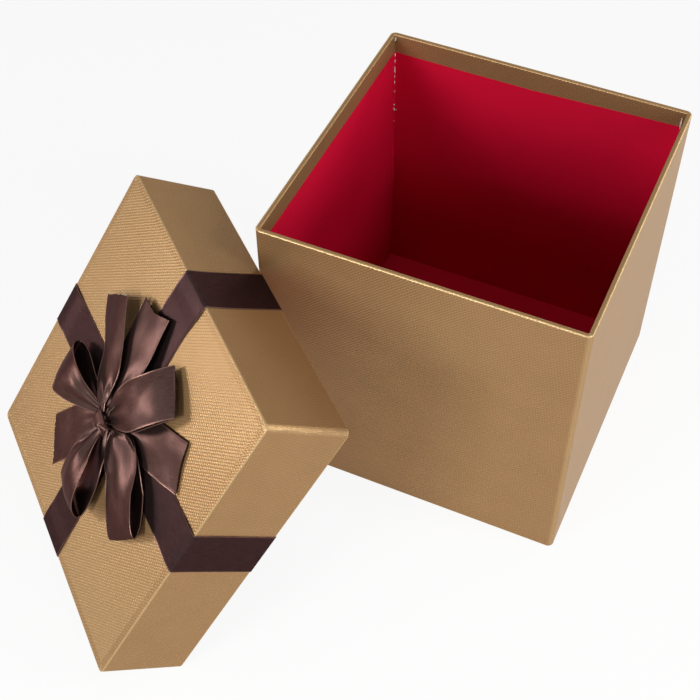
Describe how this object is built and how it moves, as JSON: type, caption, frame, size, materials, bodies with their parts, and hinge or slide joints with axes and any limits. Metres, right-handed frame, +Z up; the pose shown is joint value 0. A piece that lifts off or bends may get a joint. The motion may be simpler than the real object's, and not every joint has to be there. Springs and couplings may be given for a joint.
{
  "type": "gift box",
  "caption": "Square gift box in ribbed gold paper with a red lining; its lift-off lid, banded with brown satin ribbon and a bow, leans on the box's front corner.",
  "frame": {"origin": "Centre of the box's underside, on the surface it stands on.", "axes": "+Z up, +X to the right along the front of the box, +Y from the front of the box to its back. The lid leans on the front left corner."},
  "size_m": [0.2974, 0.3341, 0.17],
  "materials": {
    "grey_board": "matte grey board",
    "gold_paper": "embossed metallic paper",
    "red_paper": "matte coated paper",
    "underside_paper": "plain uncoated paper",
    "stay_tape": "brown paper tape",
    "brown_satin": "satin ribbon",
    "glue": "hot-melt glue"
  },
  "bodies": {
    "box": {"base_underside_sheet": "underside_paper", "base_floor_board": "grey_board", "base_front_board": "grey_board", "base_right_board": "grey_board", "base_back_board": "grey_board", "base_left_board": "grey_board", "base_corner_stays": "stay_tape", "base_wrap": "gold_paper", "base_floor_liner": "red_paper", "base_wall_liner": "red_paper"},
    "lid": {"lid_top_board": "grey_board", "lid_front_board": "grey_board", "lid_right_board": "grey_board", "lid_back_board": "grey_board", "lid_left_board": "grey_board", "lid_corner_stays": "stay_tape", "lid_wrap": "gold_paper", "lid_top_liner": "red_paper", "lid_skirt_liner": "red_paper", "ribbon_band_long": "brown_satin", "ribbon_band_cross": "brown_satin", "bow_glue_pad": "glue", "bow_knot": "brown_satin", "bow_loop_upper_right": "brown_satin", "bow_loop_lower_right": "brown_satin", "bow_loop_bottom": "brown_satin", "bow_loop_left": "brown_satin", "bow_tail_upper_left": "brown_satin", "bow_tail_top": "brown_satin", "bow_tail_right": "brown_satin", "bow_tail_lower_left": "brown_satin"}
  },
  "joints": [
    {"name": "lid_lift", "type": "slide", "parent": "box", "child": "lid", "axis": [0, 0, 1], "range_m": [0, 0.2]}
  ]
}
